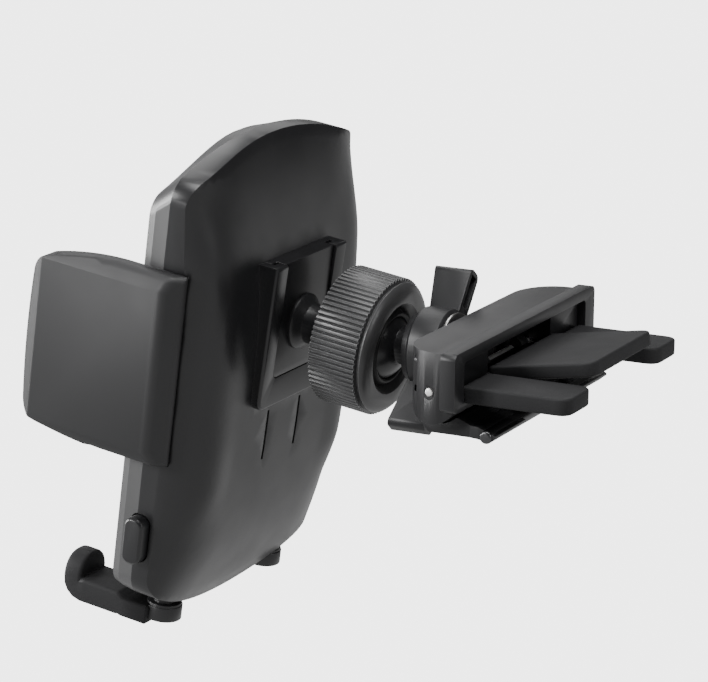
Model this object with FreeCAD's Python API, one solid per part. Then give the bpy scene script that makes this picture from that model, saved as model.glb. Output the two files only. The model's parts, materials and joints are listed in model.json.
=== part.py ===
import FreeCAD
import Part
import math
import os

# CD slot phone mount. Millimetres, +Z up, +Y the way the blades go into the slot.
# Origin: centre of the housing's rear face, which rests against the dash round the slot.
# The cradle is drawn upright round its ball, in a frame of its own, and then tilted into place.

V = FreeCAD.Vector
X = V(1, 0, 0)
Y = V(0, 1, 0)
Z = V(0, 0, 1)

# Slot housing
rim_width = 70.0
rim_depth = 3.3
rim_top = 5.5
rim_bottom = -6.7
rim_corner = 1.6
body_width = 65.4
body_top = 4.9
body_corner = 9.0
barrel_radius = 6.6
front_wall = 2.2
mouth_width = 61.0
mouth_top = 3.2
mouth_bottom = -5.3
mouth_corner = 1.0
ledge_depth = 1.6

# Hinge of the clamp lever
pin_y = -7.0
pin_z = -3.5
pin_radius = 0.95
pin_fit = 0.05
pin_recess = 0.5
pin_counterbore = 1.5

# Blades
blade_thickness = 3.0
blade_core = 1.4
blade_reach = 22.4
blade_corner = 3.2
centre_width = 32.4
side_width = 12.6
blade_gap = 1.0
blade_tilt = 9.0
sleeve_wall = 0.8
sleeve_start = -1.0
sleeve_fit = 0.05
clamp_width = 14.6
clamp_rear = -1.4
clamp_fit = 0.15
screw_radius = 1.0
screw_head = 1.8

# Clamp lever under the housing
lever_width = 58.0
lever_gap = 0.6
lever_front = -9.6
lever_rear = 0.8
lever_top = -8.9
lever_bottom = -12.6
slot_width = 25.0
ear_width = 3.4
ear_inside = 8.0
ear_radius = 2.9
fork_thickness = 1.2
fork_half_width = 8.8
fork_top = -2.0
fork_gap = 0.5
fork_notch = 1.7
nose_radius = 0.7
nose_z = -10.8
bar_rear = 6.4
bar_lip = -13.1
bar_block_width = 15.0
bar_step = 1.3
bar_pin_radius = 1.4
bar_pin_y = 4.3
bar_pin_z = -12.1

# Ball stem
ball_y = -36.0
ball_radius = 8.5
neck_radius = 4.0
neck_end = -26.0
thread_radius = 5.0
tail_radius = 3.0
tail_end = -8.5
tail_nut_flats = 10.0
thread_fit = 0.06

# Wing nut and its washer
washer_radius = 8.4
washer_thickness = 0.8
washer_gap = 0.05
hub_radius = 9.0
hub_length = 7.0
boss_radius = 7.4
boss_length = 1.6
wing_span = 18.8
wing_thickness = 4.6
wing_root = 5.4
wing_chord = 8.6
wing_lean = 38.0
wing_wall = 1.1

# Cradle's place on the ball
cradle_yaw = -2.5
cradle_pitch = -8.0
cradle_roll = 1.5

# Ball seat, collet, socket and lock nut
seat_wall = 1.0
seat_fit = 0.05
collet_start = 52.0
collet_end = 80.0
seat_start = 100.0
seat_end = 156.0
socket_wall = 1.9
nut_front = -6.6
nut_rear = 6.3
nut_radius = 15.0
lip_length = 3.4
lip_radius = 14.3
rib_count = 80
rib_depth = 0.6
socket_neck = 4.4
flange_radius = 6.2
flange_length = 2.4

# Slide plate and its pocket
pocket_face = -17.0
pocket_width = 29.4
pocket_top = 15.0
pocket_bottom = -17.5
pocket_lip = 2.2
pocket_side = 3.0
pocket_corner = 2.4
window_width = 20.4
window_bottom = -11.0
plate_fit = 0.15
plate_flange = 2.0

# Cradle body
cradle_width = 68.0
cradle_front = -38.3
split_y = -32.4
cradle_edge = -28.8
crown_y = -19.0
crown_z = -17.0
crown_sections = 9
crown_points = 15
crown_power = 5.5
crown_rise = 2.2
side_top = 33.0
apex_top = 40.0
side_bottom = -57.5
apex_bottom = -65.3
top_corner = 6.0
bottom_corner = 6.0
shell_wall = 2.0
draft_y = -36.2
side_draft = 0.8
edge_bevel = 1.0
tongue_slit = 0.8
tongue_half_width = 6.6
tongue_top = -19.5
tongue_bottom = -31.0
pad_width = 54.0
pad_top = 30.0
pad_bottom = -50.0
pad_thickness = 1.0
pad_corner = 6.0

# Arms, racks and pinion
arm_top = 15.4
arm_bottom = -26.8
arm_front = -62.2
arm_outer = 39.6
arm_gap = 0.6
arm_corner = 5.0
arm_face_rear = -29.2
arm_rear = -25.2
arm_bevel = 3.3
arm_bevel_depth = 1.9
arm_taper = 3.6
arm_bow = 1.2
arm_travel = 14.0
arm_pad = 2.4
arm_pad_rear = -39.0
rack_front = -32.1
rack_thickness = 2.4
rack_height = 8.0
rack_end = -17.0
gear_z = -5.7
gear_module = 1.0
gear_teeth = 14
gear_backlash = 0.3
gear_fit = 0.06
post_radius = 2.5
slot_fit = 0.3
spring_start = 12.0
spring_radius = 1.8
spring_wire = 0.7
spring_turns = 5

# Release buttons
button_y = -31.6
button_z = -45.0
button_height = 10.5
button_width = 4.6
button_proud = 3.0
button_travel = 1.8
button_fit = 0.25
button_flange = 1.0

# Feet
foot_x = 21.0
foot_y = -31.1
post_radius_foot = 2.4
foot_fit = 0.08
boss_top = -52.0
foot_head = 1.0
collar_height = 0.6
foot_top = -64.0
foot_thickness = 3.2
foot_width = 8.0
foot_front = -54.5
hook_top = -59.2
hook_thickness = 2.2
sleeve_thickness = 1.2
sleeve_rear = -32.6
sleeve_step = -39.8
sleeve_sink = 0.2
toe_radius = 3.0

# Cradle screws
cover_screw_x = 21.0
cover_screw_z = [24.0, -38.0]
boss_outer = 3.0
cover_screw = 1.3

body_front = pin_y - barrel_radius
blade_z = pin_z
tilt = FreeCAD.Placement(V(0, 0, 0), FreeCAD.Rotation(X, blade_tilt), V(0, pin_y, pin_z))
place = FreeCAD.Placement(
    V(0, ball_y, pin_z),
    FreeCAD.Rotation(Z, cradle_yaw)
    .multiply(FreeCAD.Rotation(X, cradle_pitch))
    .multiply(FreeCAD.Rotation(Y, cradle_roll)))
parts = {}


# Helpers
def block(x0, x1, y0, y1, z0, z1):
    return Part.makeBox(x1 - x0, y1 - y0, z1 - z0, V(x0, y0, z0))


def rod(radius, start, direction, length):
    return Part.makeCylinder(radius, length, start, direction)


def prism(points, direction):
    wire = Part.makePolygon(points + points[:1])
    return Part.Face(wire).extrude(direction)


def turned(points):
    """Profile of (radius, y) pairs turned round the Y axis through the origin."""
    ring = [V(r, y, 0) for r, y in points]
    wire = Part.makePolygon(ring + ring[:1])
    return Part.Face(wire).revolve(V(0, 0, 0), Y, 360)


def is_along(edge, axis):
    if not isinstance(edge.Curve, Part.Line):
        return False
    return abs(edge.tangentAt(edge.FirstParameter).dot(axis)) > 0.9999


def rounded(shape, radius, wanted):
    return shape.makeFillet(radius, [e for e in shape.Edges if wanted(e)])


def rounded_block(x0, x1, y0, y1, z0, z1, radius, axis):
    return rounded(block(x0, x1, y0, y1, z0, z1), radius, lambda e: is_along(e, axis))


def mirrored(shape):
    return shape.mirror(V(0, 0, 0), X)


def ball(radius, centre=V(0, 0, 0)):
    return Part.makeSphere(radius, centre)


# Slot housing
def base_housing():
    half = body_width / 2
    upper = block(-half, half, body_front, 0, pin_z, body_top)
    barrel = rod(barrel_radius, V(-half, pin_y, pin_z), X, body_width)
    rear = block(-half, half, pin_y, 0, rim_bottom, pin_z)
    body = upper.fuse([barrel, rear]).removeSplitter()
    plan = block(-half, half, body_front, 0, pin_z - barrel_radius, body_top)
    plan = rounded(plan, body_corner, lambda e: is_along(e, Z) and e.CenterOfMass.y < pin_y)
    body = body.common(plan)
    side = rim_width / 2
    rim = rounded_block(-side, side, -rim_depth, 0, rim_bottom, rim_top, rim_corner, Y)
    body = body.fuse(rim).removeSplitter()
    mouth = mouth_width / 2
    inside = body_front + front_wall
    hollow = rounded_block(-mouth, mouth, inside, 1, mouth_bottom, mouth_top, mouth_corner, Y)
    ledge_x = mouth - clamp_width
    ledge_top = blade_z - blade_core / 2
    for sign in (-1, 1):
        x0, x1 = sorted((sign * ledge_x, sign * (mouth + 1)))
        ledge = block(x0, x1, inside - 1, sleeve_start - 0.5, mouth_bottom - 1, ledge_top)
        hollow = hollow.cut(ledge)
    body = body.cut(hollow)
    slot = block(-slot_width / 2, slot_width / 2, inside, -rim_depth + 1.2,
                 pin_z - barrel_radius - 1, mouth_bottom + 1)
    body = body.cut(slot)
    body = body.cut(rod(pin_radius + pin_fit, V(-half - 1, pin_y, pin_z), X, body_width + 2))
    for x in (-half - 1, half - pin_recess - 0.2):
        body = body.cut(rod(pin_counterbore, V(x, pin_y, pin_z), X, pin_recess + 1.2))
    body = body.cut(rod(tail_radius + thread_fit, V(0, body_front - 1, pin_z), Y, front_wall + 2))
    for x in screw_places():
        body = body.cut(rod(screw_radius * 0.8, V(x, screw_y(), pin_z - barrel_radius + 1.5), Z, 6))
    return body


def screw_places():
    middle = mouth_width / 2 - clamp_width / 2 + 1
    return [-middle, middle]


def screw_y():
    return pin_y + pin_radius + screw_radius + 0.6


def hinge_pin():
    length = body_width - 2 * pin_recess
    pin = rod(pin_radius, V(-length / 2, pin_y, pin_z), X, length)
    return pin.makeChamfer(0.25, [e for e in pin.Edges if not is_along(e, X)])


# Blades, drawn level; the centre one is then tilted about the hinge pin
def blade_plan(x0, x1, y0, y1, thickness, corner):
    middle = blade_z - thickness / 2
    plate = block(x0, x1, y0, y1, middle, middle + thickness)
    return rounded(plate, corner, lambda e: is_along(e, Z) and e.CenterOfMass.y > (y0 + y1) / 2)


def blade_sleeve(x0, x1):
    outer = blade_plan(x0, x1, sleeve_start, blade_reach, blade_thickness, blade_corner)
    top = [e for e in outer.Edges if abs(e.CenterOfMass.z - blade_z) > blade_thickness / 2 - 0.01
           and e.CenterOfMass.y > sleeve_start + 0.1]
    outer = outer.makeChamfer(0.4, top)
    wall = sleeve_wall - sleeve_fit
    core = blade_plan(x0 + wall, x1 - wall, sleeve_start - 1, blade_reach - wall,
                      blade_core + 2 * sleeve_fit, blade_corner - wall)
    return outer.cut(core)


def blade_core_plate(x0, x1, root):
    return blade_plan(x0 + sleeve_wall, x1 - sleeve_wall, root, blade_reach - sleeve_wall,
                      blade_core, blade_corner - sleeve_wall)


def side_span():
    inner = centre_width / 2 + blade_gap
    return inner, inner + side_width


def side_blade_core():
    x0, x1 = side_span()
    core = blade_core_plate(x0, x1, pin_y + pin_radius + 0.3)
    return core.cut(rod(screw_radius, V(screw_places()[1], screw_y(), blade_z - 2), Z, 4))


def blade_clamp():
    x1 = mouth_width / 2 - clamp_fit
    x0 = mouth_width / 2 - clamp_width
    bottom = blade_z + blade_core / 2
    top = mouth_top - clamp_fit
    shape = block(x0, x1, body_front + front_wall + clamp_fit, clamp_rear, bottom, top)
    shape = rounded(shape, mouth_corner, lambda e: is_along(e, Y) and e.CenterOfMass.x > x1 - 0.01
                    and e.CenterOfMass.z > top - 0.01)
    shape = shape.cut(rod(pin_radius + 0.3, V(x0 - 1, pin_y, pin_z), X, clamp_width + 2))
    shape = shape.cut(rod(screw_radius, V(screw_places()[1], screw_y(), bottom - 1), Z, 9))
    head = rod(screw_head + 0.1, V(screw_places()[1], screw_y(), mouth_top - 2.0), Z, 3)
    return shape.cut(head)


def blade_screws():
    shapes = []
    for x in screw_places():
        bottom = pin_z - barrel_radius + 1.7
        shaft = rod(screw_radius * 0.8 - 0.02, V(x, screw_y(), bottom), Z, mouth_top - 2.0 - bottom)
        head = rod(screw_head, V(x, screw_y(), mouth_top - 2.0), Z, 1.5)
        shapes.append(shaft.fuse(head))
    return Part.makeCompound(shapes)


def centre_blade_core():
    half = centre_width / 2
    root = pin_y + ear_radius - 1.4
    core = blade_core_plate(-half, half, root)
    tab = ear_inside + ear_width
    shape = core.cut(block(-half - 1, -tab, root - 1, 0.4, blade_z - 2, blade_z + 2))
    shape = shape.cut(block(tab, half + 1, root - 1, 0.4, blade_z - 2, blade_z + 2))
    return shape


# Clamp lever: ears on the pin, a shell under the barrel, a fork ahead of the housing and a bar
def clamp_lever():
    half = lever_width / 2
    front, rear = lever_front, lever_rear
    profile = [V(-half, front, lever_bottom + 1.2), V(-half, front + 1.2, lever_bottom),
               V(-half, rear, lever_bottom), V(-half, rear, lever_top - 1.2),
               V(-half, rear - 2.6, lever_top), V(-half, front, lever_top)]
    shell = prism(profile, V(lever_width, 0, 0))
    shell = shell.cut(rod(barrel_radius + lever_gap, V(-half - 1, pin_y, pin_z), X, lever_width + 2))
    fork_rear = body_front - fork_gap
    fork_front = fork_rear - fork_thickness
    fork = block(-fork_half_width, fork_half_width, fork_front, fork_rear, lever_bottom, fork_top)
    foot = block(-fork_half_width, fork_half_width, fork_front, front + 2, lever_bottom,
                 pin_z - barrel_radius - lever_gap)
    fork = fork.fuse(foot)
    notch = thread_radius + fork_notch
    fork = fork.cut(rod(notch, V(0, fork_front - 1, pin_z), Y, fork_thickness + 2))
    fork = fork.cut(block(-notch, notch, fork_front - 1, fork_rear + 1, pin_z, fork_top + 1))
    nose = rod(nose_radius, V(-fork_half_width, nose_y() + nose_radius, nose_z), X, 2 * fork_half_width)
    lever = shell.fuse([fork, nose])
    for sign in (-1, 1):
        x0 = min(sign * ear_inside, sign * (ear_inside + ear_width))
        disc = rod(ear_radius, V(x0, pin_y, pin_z), X, ear_width)
        web = block(x0, x0 + ear_width, pin_y - ear_radius, pin_y + ear_radius,
                    pin_z - barrel_radius - lever_gap - 0.4, pin_z)
        lever = lever.fuse([disc, web])
    lever = lever.cut(rod(pin_radius + pin_fit, V(-half, pin_y, pin_z), X, lever_width))
    seat = centre_blade_core()
    seat.Placement = tilt
    lever = lever.cut(seat)
    return lever.removeSplitter()


def nose_y():
    return body_front - fork_gap - fork_thickness - 0.6


def lever_bar():
    half = lever_width / 2
    top = lever_top - 1.2
    profile = [V(-half, lever_rear, top), V(-half, lever_rear + 1.6, top - 0.1),
               V(-half, bar_rear, lever_bottom + 0.9), V(-half, bar_rear, bar_lip + 0.9),
               V(-half, bar_rear - 1.2, bar_lip), V(-half, lever_rear + 1.4, bar_lip + 0.4),
               V(-half, lever_rear, lever_bottom)]
    bar = prism(profile, V(lever_width, 0, 0))
    inner = half - bar_block_width
    rise = (top - lever_bottom - 1.0) / (bar_rear - lever_rear - 1.6)
    length = math.hypot(bar_rear - lever_rear, top - lever_bottom)
    step = block(-inner, inner, 0, length + 2, -bar_step, 3)
    step.Placement = FreeCAD.Placement(V(0, lever_rear + 1.0, top),
                                       FreeCAD.Rotation(X, -math.degrees(math.atan(rise))))
    bar = bar.cut(step)
    bar = bar.cut(block(-inner, inner, bar_rear - bar_step, bar_rear + 1, bar_lip - 1, top))
    return bar.cut(rod(bar_pin_radius + 0.02, V(-half - 1, bar_pin_y, bar_pin_z), X, lever_width + 2))


def bar_pin():
    length = lever_width + 1.0
    pin = rod(bar_pin_radius, V(-length / 2, bar_pin_y, bar_pin_z), X, length)
    return pin.makeChamfer(0.4, [e for e in pin.Edges if not is_along(e, X)])


# Ball stem, its nut, and the wing nut that works the lever
def hexagon(flats, y0, y1):
    radius = flats / 2 / math.cos(math.pi / 6)
    points = []
    for k in range(6):
        a = math.pi / 3 * k
        points.append(V(radius * math.cos(a), y0, pin_z + radius * math.sin(a)))
    return prism(points, V(0, y1 - y0, 0))


def ball_stem():
    stem = ball(ball_radius, V(0, ball_y, pin_z))
    neck = rod(neck_radius, V(0, ball_y, pin_z), Y, neck_end - ball_y)
    thread = rod(thread_radius, V(0, neck_end, pin_z), Y, body_front - neck_end)
    thread = thread.makeChamfer(0.7, [e for e in thread.Edges if e.CenterOfMass.y < neck_end + 0.1])
    tail = rod(tail_radius, V(0, body_front - 1, pin_z), Y, tail_end - body_front + 1)
    return stem.fuse([neck, thread, tail]).removeSplitter()


def stem_nut():
    nut = hexagon(tail_nut_flats, body_front + front_wall, tail_end - 0.5)
    return nut.cut(rod(tail_radius + thread_fit, V(0, body_front, pin_z), Y, 10))


def washer_rear():
    return nose_y() - washer_gap


def thrust_washer():
    rear = washer_rear()
    washer = rod(washer_radius, V(0, rear - washer_thickness, pin_z), Y, washer_thickness)
    return washer.cut(rod(thread_radius + 0.3, V(0, rear - 5, pin_z), Y, 10))


def wing_plate(half, z0, z1, wall):
    """Upright plate that widens outwards, with its front edge set back by the wall."""
    rear = washer_rear() - washer_thickness - 0.3
    points = []
    for z in (z0, z1):
        chord = wing_root + (wing_chord - wing_root) * z / wing_span
        points.append(V(-half, rear - chord + wall, z))
    back = rear + (1 if wall else 0)
    points += [V(-half, back, z1), V(-half, back, z0)]
    return prism(points, V(2 * half, 0, 0))


def wing():
    # One wing standing up along +Z from the hub's middle, hollow from behind
    t = wing_thickness / 2
    blade = wing_plate(t, 0, wing_span, 0)
    blade = rounded(blade, 1.4, lambda e: e.CenterOfMass.z > wing_span - 0.1 and is_along(e, Y))
    return blade.cut(wing_plate(t - wing_wall, hub_radius + 1.2, wing_span - wing_wall, wing_wall))


def wing_nut():
    rear = washer_rear() - washer_thickness
    front = rear - hub_length
    hub = rod(hub_radius, V(0, front, 0), Y, hub_length)
    hub = hub.makeChamfer(0.6, [e for e in hub.Edges if not is_along(e, Y)])
    boss = rod(boss_radius, V(0, front - boss_length, 0), Y, boss_length + 1)
    nut = hub.fuse(boss)
    for turn in (0, 180):
        piece = wing()
        piece.rotate(V(0, 0, 0), Y, turn - wing_lean)
        nut = nut.fuse(piece)
    nut = nut.cut(rod(thread_radius + thread_fit, V(0, front - 5, 0), Y, hub_length + 10))
    nut.translate(V(0, 0, pin_z))
    return nut.removeSplitter()


# Everything below is drawn in the cradle's own frame, with the ball's centre as origin
def lathe_sector(inner, outer, start, end):
    """Ring between two spheres, from one polar angle to another, measured from +Y."""
    a, b = math.radians(start), math.radians(end)
    middle = (a + b) / 2

    def at(r, t):
        return V(r * math.sin(t), r * math.cos(t), 0)
    edges = [Part.Arc(at(inner, a), at(inner, middle), at(inner, b)).toShape(),
             Part.makeLine(at(inner, b), at(outer, b)),
             Part.Arc(at(outer, b), at(outer, middle), at(outer, a)).toShape(),
             Part.makeLine(at(outer, a), at(inner, a))]
    return Part.Face(Part.Wire(edges)).revolve(V(0, 0, 0), Y, 360)


seat_inner = ball_radius + seat_fit
seat_outer = seat_inner + seat_wall
socket_inner = seat_outer + seat_fit
socket_radius = socket_inner + socket_wall
thread_bore = socket_radius + thread_fit


def collet():
    return lathe_sector(seat_inner, seat_outer, collet_start, collet_end)


def ball_seat():
    return lathe_sector(seat_inner, seat_outer, seat_start, seat_end)


def lock_nut():
    lip_start = nut_rear - lip_length
    core = nut_radius - rib_depth - 0.2
    profile = [(0, nut_front), (core, nut_front), (core, lip_start - 0.5),
               (lip_radius - 0.6, lip_start), (lip_radius - 0.2, lip_start + 0.4),
               (lip_radius, lip_start + 1.4), (lip_radius - 0.6, nut_rear - 0.8),
               (lip_radius - 1.6, nut_rear), (0, nut_rear)]
    nut = ribs(nut_front, lip_start - 0.5).fuse(turned(profile))
    bore = [(0, nut_front - 1), (thread_bore, nut_front - 1), (thread_bore, 0.4), (0, 0.4)]
    nut = nut.cut(turned(bore))
    nut = nut.cut(ball(socket_inner))
    mouth = [(0, nut_rear + 1), (socket_inner + 1.2, nut_rear + 1), (socket_inner - 2.0, nut_rear - 3.0),
             (0, nut_rear - 3.0)]
    return nut.cut(turned(mouth))


def ribs(y0, y1):
    step = 2 * math.pi / rib_count
    points = []
    for k in range(rib_count):
        for share, depth in ((0.0, 0), (0.42, 0), (0.71, rib_depth)):
            angle = step * (k + share)
            radius = nut_radius - depth
            points.append(V(radius * math.cos(angle), y0, radius * math.sin(angle)))
    return prism(points, V(0, y1 - y0, 0))


def socket():
    # Cup round the ball's front half, threaded outside, on a waisted neck and a flange
    back = socket_radius * 0.78
    profile = [(0, pocket_face), (flange_radius, pocket_face), (flange_radius, pocket_face + 0.6),
               (socket_neck, pocket_face + flange_length), (socket_neck, -socket_radius + 0.6),
               (back * 0.86, -socket_radius + 2.2), (socket_radius, nut_front), (socket_radius, 0),
               (0, 0)]
    cup = turned(profile)
    return cup.cut(ball(socket_inner))


def plate_block(width, z0, y0, y1, corner):
    shape = block(-width / 2, width / 2, y0, y1, z0, pocket_top)
    return rounded(shape, corner, lambda e: is_along(e, Y) and e.CenterOfMass.z < z0 + 1)


def slide_plate():
    head_width = window_width - 2 * plate_fit
    head = plate_block(head_width, window_bottom + plate_fit, pocket_face - pocket_lip - plate_fit,
                       pocket_face, 1.5)
    flange_width = window_width + 2 * plate_flange
    flange_y = pocket_face - pocket_lip - plate_fit
    flange = plate_block(flange_width, window_bottom - plate_flange, flange_y - plate_flange, flange_y, 1.5)
    plate = head.fuse(flange)
    detent = rod(1.2, V(-4, flange_y - plate_flange, window_bottom + 3), X, 8)
    return plate.cut(detent)


# Cradle body
def outline(inset, y, depth):
    w = cradle_width / 2 - inset
    low = [V(-w, y, side_bottom), V(0, y, apex_bottom + inset), V(w, y, side_bottom)]
    high = [V(w, y, side_top), V(0, y, apex_top - inset), V(-w, y, side_top)]
    edges = [Part.Arc(*low).toShape(), Part.makeLine(low[2], high[0]),
             Part.Arc(*high).toShape(), Part.makeLine(high[2], low[0])]
    shape = Part.Face(Part.Wire(edges)).extrude(V(0, depth, 0))
    shape = rounded(shape, top_corner - inset * 0.7,
                    lambda e: is_along(e, Y) and e.CenterOfMass.z > 0)
    return rounded(shape, bottom_corner - inset * 0.7,
                   lambda e: is_along(e, Y) and e.CenterOfMass.z < 0)


def crown(peak, edge, inset):
    """Space in front of a flat-topped swell that falls to a level edge all round."""
    w = cradle_width / 2 + 0.4 - inset
    front = cradle_front - 5
    wires = []
    for k in range(crown_sections):
        share = 2 * k / (crown_sections - 1) - 1
        tall = apex_top - crown_z if share > 0 else crown_z - apex_bottom
        z = crown_z + share * (tall + 0.8 - inset)
        rise = (peak - edge) * (1 - abs(share) ** crown_rise) + 0.05
        points = []
        for j in range(crown_points):
            x = -math.cos(math.pi * j / (crown_points - 1))
            points.append(V(w * x, edge + rise * (1 - abs(x) ** crown_power), z))
        curve = Part.BSplineCurve()
        curve.interpolate(points)
        rest = [Part.makeLine(V(w, edge, z), V(w, front, z)), Part.makeLine(V(w, front, z), V(-w, front, z)),
                Part.makeLine(V(-w, front, z), V(-w, edge, z))]
        wires.append(Part.Wire([curve.toShape()] + rest))
    return Part.makeLoft(wires, True, False)


def cradle_space(inset, y0):
    return outline(inset, y0, crown_y + 2 - y0)


def rear_cover():
    skin = cradle_space(0, split_y).common(crown(crown_y, cradle_edge, 0))
    body = skin.fuse(pocket_frame())
    inside = cradle_space(shell_wall, split_y - 1)
    inside = inside.common(crown(crown_y - shell_wall, cradle_edge - shell_wall * 0.6, shell_wall))
    floor_y = pocket_floor()
    keep = block(-pocket_width / 2, pocket_width / 2, floor_y, 0, pocket_bottom, pocket_top + 0.01)
    inside = inside.cut(keep)
    body = body.cut(inside)
    body = body.cut(pocket_window())
    for z in cover_screw_z:
        for x in (-cover_screw_x, cover_screw_x):
            post = rod(boss_outer, V(x, split_y, z), Y, 9).common(skin)
            body = body.fuse(post)
            body = body.cut(rod(cover_screw - 0.2, V(x, split_y - 1, z), Y, 5.5))
    for x in (-foot_x, foot_x):
        body = body.fuse(foot_boss(x).common(skin))
    body = body.cut(latch_slits())
    return body.cut(side_openings()).removeSplitter()


def pocket_floor():
    return pocket_face - pocket_lip - plate_fit - plate_flange - 1.6


def pocket_frame():
    half = pocket_width / 2
    frame = block(-half, half, pocket_floor(), pocket_face, pocket_bottom, pocket_top)
    frame = rounded(frame, pocket_corner, lambda e: is_along(e, Y) and e.CenterOfMass.z < 0)
    return rounded(frame, 0.7, lambda e: e.CenterOfMass.y > pocket_face - 0.01)


def pocket_window():
    lip_y = pocket_face - pocket_lip
    space = plate_block(window_width, window_bottom, lip_y - 1, pocket_face + 1, 1.5 + plate_fit)
    tall = block(-window_width / 2, window_width / 2, lip_y - 1, pocket_face + 1, 0, pocket_top + 1)
    wide = window_width + 2 * plate_flange + 2 * plate_fit
    back = lip_y - 2 * plate_fit - plate_flange
    z0 = window_bottom - plate_flange - plate_fit
    room = plate_block(wide, z0, back, lip_y, 1.5 + plate_fit)
    top = block(-wide / 2, wide / 2, back, lip_y, 0, pocket_top + 1)
    return space.fuse([tall, room, top])


def latch_slits():
    w = tongue_half_width
    depth = (crown_y - 5, crown_y + 4)
    slits = []
    for sign in (-1, 1):
        x0 = sign * w - tongue_slit / 2
        slits.append(block(x0, x0 + tongue_slit, *depth, tongue_bottom, tongue_top))
    return slits[0].fuse(slits[1])


def front_shell():
    shell = shell_block()
    inside = outline(shell_wall, cradle_front + shell_wall, split_y - cradle_front)
    shell = shell.cut(inside)
    post = rod(post_radius + 2.2, V(0, cradle_front + 1, gear_z), Y, rack_front - 0.06 - cradle_front - 1)
    pivot = rod(post_radius, V(0, cradle_front + 1, gear_z), Y,
                rack_front + rack_thickness - 0.1 - cradle_front)
    shell = shell.fuse([post, pivot])
    for z in cover_screw_z:
        for x in (-cover_screw_x, cover_screw_x):
            boss = rod(boss_outer, V(x, cradle_front + 1, z), Y, split_y - cradle_front - 1)
            shell = shell.fuse(boss)
            shell = shell.cut(rod(cover_screw + 0.2, V(x, cradle_front - 1, z), Y, 9))
            shell = shell.cut(rod(cover_screw + 1.3, V(x, cradle_front - 1, z), Y, 2.6))
    for x in (-foot_x, foot_x):
        shell = shell.fuse(foot_boss(x).common(shell_block()))
    return shell.cut(side_openings()).removeSplitter()


def outline_wire(inset, y):
    slab = outline(inset, y, 1)
    face = [f for f in slab.Faces if abs(f.CenterOfMass.y - y) < 0.001][0]
    return face.OuterWire


def shell_block():
    """Front half of the cradle's outline, drafted towards the front and then bevelled."""
    wires = [outline_wire(0, split_y), outline_wire(side_draft, draft_y),
             outline_wire(side_draft + edge_bevel, cradle_front)]
    return Part.makeLoft(wires, True, True)


def foot_boss(x):
    return rod(post_radius_foot + 1.6, V(x, foot_y, apex_bottom), Z, boss_top - apex_bottom)


def side_openings():
    """Slots for the rack tongues, windows for the buttons and bores for the foot posts."""
    w = cradle_width / 2
    cuts = []
    for sign in (-1, 1):
        x0, x1 = sorted((sign * (w - 8), sign * (w + 2)))
        z = rack_middle(sign)
        cuts.append(block(x0, x1, split_y, rack_front + rack_thickness + slot_fit,
                          z - rack_height / 2 - slot_fit, z + rack_height / 2 + slot_fit))
        cuts.append(button_shape(sign, button_fit, w - 8, w + 2))
        cuts.append(rod(post_radius_foot + foot_fit, V(sign * foot_x, foot_y, apex_bottom - 1), Z,
                        boss_top - apex_bottom + 2))
    return cuts[0].fuse(cuts[1:])


def button_shape(sign, grow, x_from, x_to):
    x0, x1 = sorted((sign * x_from, sign * x_to))
    half_y = button_width / 2 + grow
    half_z = button_height / 2 + grow
    return rounded_block(x0, x1, button_y - half_y, button_y + half_y,
                         button_z - half_z, button_z + half_z, half_y - 0.3, X)


def release_button(sign):
    w = cradle_width / 2
    stem = button_shape(sign, 0, w - shell_wall - 1.4, w + button_proud)
    tip = [e for e in stem.Edges if abs(abs(e.CenterOfMass.x) - (w + button_proud)) < 0.01]
    stem = stem.makeChamfer(0.5, tip)
    flange_to = w - shell_wall - 0.3
    flange = button_shape(sign, button_flange, flange_to - 1.4, flange_to)
    rear = cradle_edge - shell_wall * 0.6 - 0.15
    flange = flange.common(outline(shell_wall + 0.3, split_y - 4, rear - split_y + 4))
    return stem.fuse(flange).removeSplitter()


def front_pad():
    w = pad_width / 2
    pad = block(-w, w, cradle_front - pad_thickness, cradle_front - 0.02, pad_bottom, pad_top)
    pad = rounded(pad, pad_corner, lambda e: is_along(e, Y))
    front = [e for e in pad.Edges if e.CenterOfMass.y < cradle_front - pad_thickness + 0.01]
    return pad.makeChamfer(0.4, front)


def cover_screws():
    shapes = []
    for z in cover_screw_z:
        for x in (-cover_screw_x, cover_screw_x):
            head = rod(cover_screw + 1.1, V(x, cradle_front + 0.2, z), Y, 1.2)
            shaft = rod(cover_screw - 0.22, V(x, cradle_front + 1, z), Y, 7.5)
            shapes.append(head.fuse(shaft))
    return Part.makeCompound(shapes)


# Arms with their racks, and the pinion that keeps them level with each other
def rack_middle(sign):
    pitch = gear_module * gear_teeth / 2
    return gear_z + sign * (pitch + 1.25 * gear_module + rack_height / 2)


def rack():
    """Tongue of the +X arm: teeth along its lower edge, above the pinion."""
    pitch_line = gear_z + gear_module * gear_teeth / 2
    foot = pitch_line + 1.25 * gear_module
    bar = block(rack_end, cradle_width / 2 + arm_gap + 0.5, rack_front, rack_front + rack_thickness,
                foot, foot + rack_height)
    pitch = math.pi * gear_module
    slope = math.tan(math.radians(20))
    half = pitch / 4 - gear_backlash / 2
    teeth = []
    first = math.ceil((rack_end + 1) / pitch)
    for k in range(first, 3):
        x = (k + 0.5) * pitch
        low, high = pitch_line - gear_module, foot + 0.05
        wide, narrow = half + slope * (high - pitch_line), half - slope * gear_module
        points = [V(x - narrow, rack_front, low), V(x + narrow, rack_front, low),
                  V(x + wide, rack_front, high), V(x - wide, rack_front, high)]
        teeth.append(prism(points, V(0, rack_thickness, 0)))
    return bar.fuse(teeth)


def involute(base, radius):
    reach = math.sqrt(max(radius * radius / (base * base) - 1, 0))
    return reach - math.atan(reach)


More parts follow.
